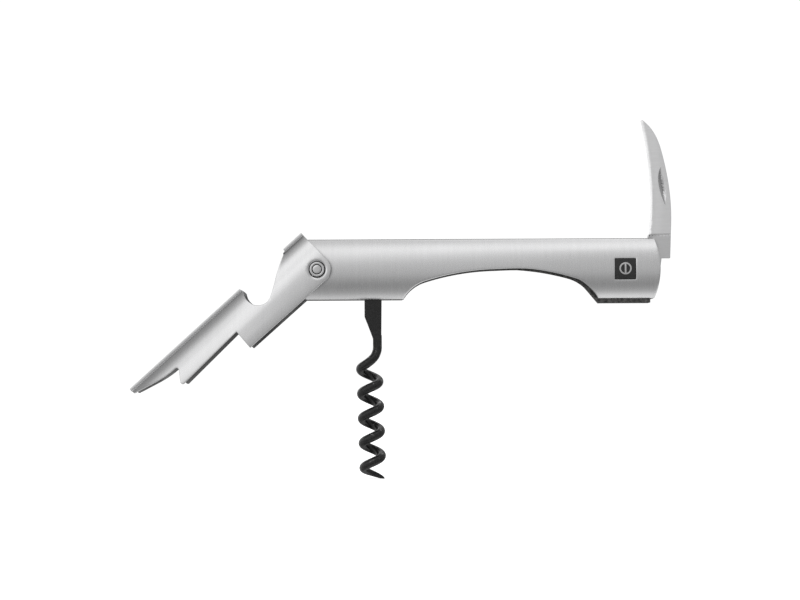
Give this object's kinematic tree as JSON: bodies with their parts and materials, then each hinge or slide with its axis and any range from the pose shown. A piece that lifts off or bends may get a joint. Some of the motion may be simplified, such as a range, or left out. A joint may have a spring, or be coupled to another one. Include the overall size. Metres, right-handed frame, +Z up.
{
  "type": "lever corkscrew",
  "caption": "Waiter's lever corkscrew: arched satin steel handle, pivoting boot lever with bottle-cap notch, folding black screw worm and folding curved foil blade.",
  "frame": {"origin": "middle of the overall box, at the height of the worm's point, the lowest point in the working pose", "axes": "+X along the handle from the lever hinge to the foil blade, +Y from the badge side to the plain side, +Z up with the worm hanging straight down"},
  "size_m": [0.182, 0.0156, 0.121],
  "materials": {
    "satin_steel": "satin brushed across the length",
    "blade_steel": "fine ground flat with a bright honed edge",
    "rivet_steel": "turned and lightly polished",
    "dark_steel": "dark blackened liner, mottled",
    "spring_steel": "hardened grey spring steel",
    "washer_bronze": "thin rolled bronze",
    "worm_coating": "black low-friction coating with a slight speckle",
    "badge_black": "black enamel inlay with a plain steel-coloured geometric mark"
  },
  "bodies": {
    "handle": {"shell_front": "satin_steel", "shell_rear": "satin_steel", "badge_plate": "badge_black", "liner_front": "dark_steel", "liner_rear": "dark_steel", "spine_spacer": "satin_steel", "worm_spring": "spring_steel", "blade_spring": "spring_steel", "foot_block": "dark_steel", "spine_rivet_left": "spring_steel", "spine_rivet_right": "spring_steel", "foot_rivet_left": "spring_steel", "foot_rivet_right": "spring_steel", "worm_pin": "spring_steel", "blade_pin": "spring_steel", "blade_washer_front": "washer_bronze", "blade_washer_rear": "washer_bronze", "lever_washer_front": "washer_bronze", "lever_washer_rear": "washer_bronze", "lever_sleeve": "rivet_steel", "lever_core_pin": "rivet_steel"},
    "lever": {"lever_arm": "satin_steel"},
    "worm": {"worm": "worm_coating"},
    "blade": {"foil_blade": "blade_steel"}
  },
  "joints": [
    {"name": "lever_hinge", "type": "hinge", "parent": "handle", "child": "lever", "pos_m": [-0.02858, 0, 0.07034], "axis": [0, -1, 0], "range_deg": [-50, 60]},
    {"name": "worm_hinge", "type": "hinge", "parent": "handle", "child": "worm", "pos_m": [-0.00998, 0, 0.06424], "axis": [0, -1, 0], "range_deg": [0, 90]},
    {"name": "blade_hinge", "type": "hinge", "parent": "handle", "child": "blade", "pos_m": [0.08302, 0, 0.07414], "axis": [0, -1, 0], "range_deg": [-90, 90]}
  ]
}
